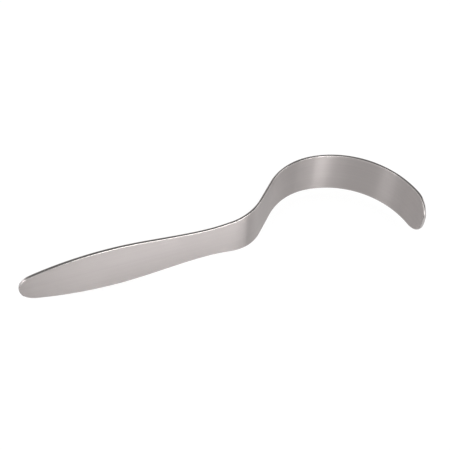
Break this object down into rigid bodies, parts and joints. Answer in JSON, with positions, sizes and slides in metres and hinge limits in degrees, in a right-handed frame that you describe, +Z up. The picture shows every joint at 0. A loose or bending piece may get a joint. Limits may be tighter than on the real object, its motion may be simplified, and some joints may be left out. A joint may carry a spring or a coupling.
{
  "type": "handheld surgical retractor",
  "caption": "Handheld surgical retractor: a flat leaf-shaped grip with a round butt, narrowing to a waist and bending into a broad curved hook blade with a round tip",
  "frame": {"origin": "under the middle of the part's box, on the surface that it stands on with its lower long edge", "axes": "+X runs along the straight grip from its butt toward the hook; +Y is the side that the hook's crown rises to; +Z runs up the width of the strip"},
  "size_m": [0.305, 0.0762, 0.0432],
  "materials": {
    "polished_steel": "satin broad faces with polished round edges"
  },
  "bodies": {
    "root": {"retractor": "polished_steel"}
  },
  "joints": []
}
